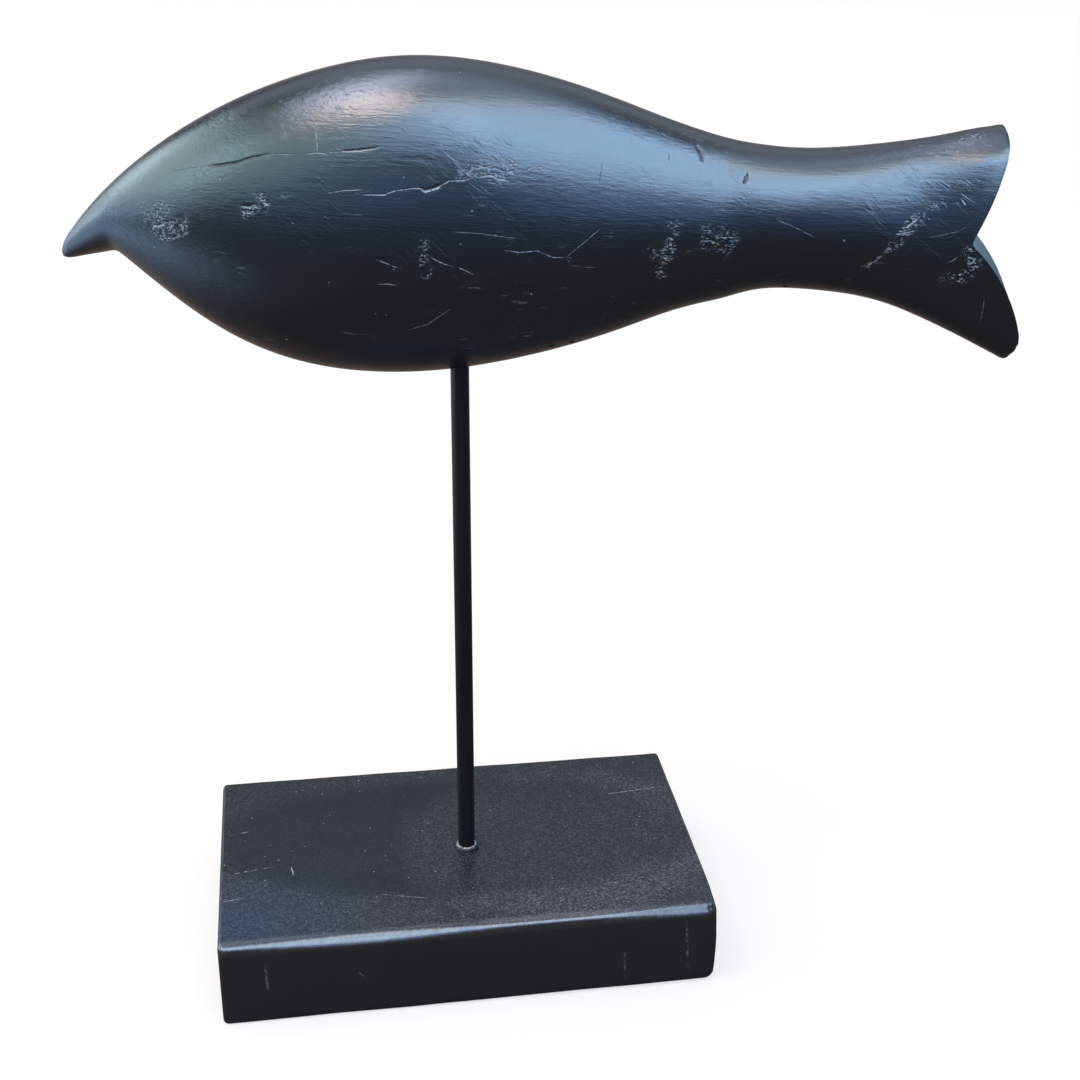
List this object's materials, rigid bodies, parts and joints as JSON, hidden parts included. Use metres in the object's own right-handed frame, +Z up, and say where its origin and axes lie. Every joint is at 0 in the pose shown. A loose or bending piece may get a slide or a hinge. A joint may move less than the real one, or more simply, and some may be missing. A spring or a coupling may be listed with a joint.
{
  "type": "fish figurine",
  "caption": "Carved wooden fish that turns on a slim steel rod standing in a rectangular wooden block, a free-standing ornament.",
  "frame": {"origin": "centre of the block's underside, where the figurine stands", "axes": "+Z up along the rod, +X along the block's long side towards the fish's tail"},
  "size_m": [0.2894, 0.1138, 0.31],
  "materials": {
    "fish_paint": "satin black paint over carved wood, with fine grain, scuffs and drying cracks",
    "rod_paint": "satin black",
    "block_paint": "satin black paint, worn pale along the front top edge",
    "glue": "dusty hardened glue"
  },
  "bodies": {
    "stand": {"base_block": "block_paint", "support_rod": "rod_paint", "foot_glue": "glue"},
    "fish": {"fish_body": "fish_paint"}
  },
  "joints": [
    {"name": "fish_swivel", "type": "hinge", "parent": "stand", "child": "fish", "pos_m": [0.003, -0.003, 0.213], "axis": [0, 0, 1], "continuous": true}
  ]
}
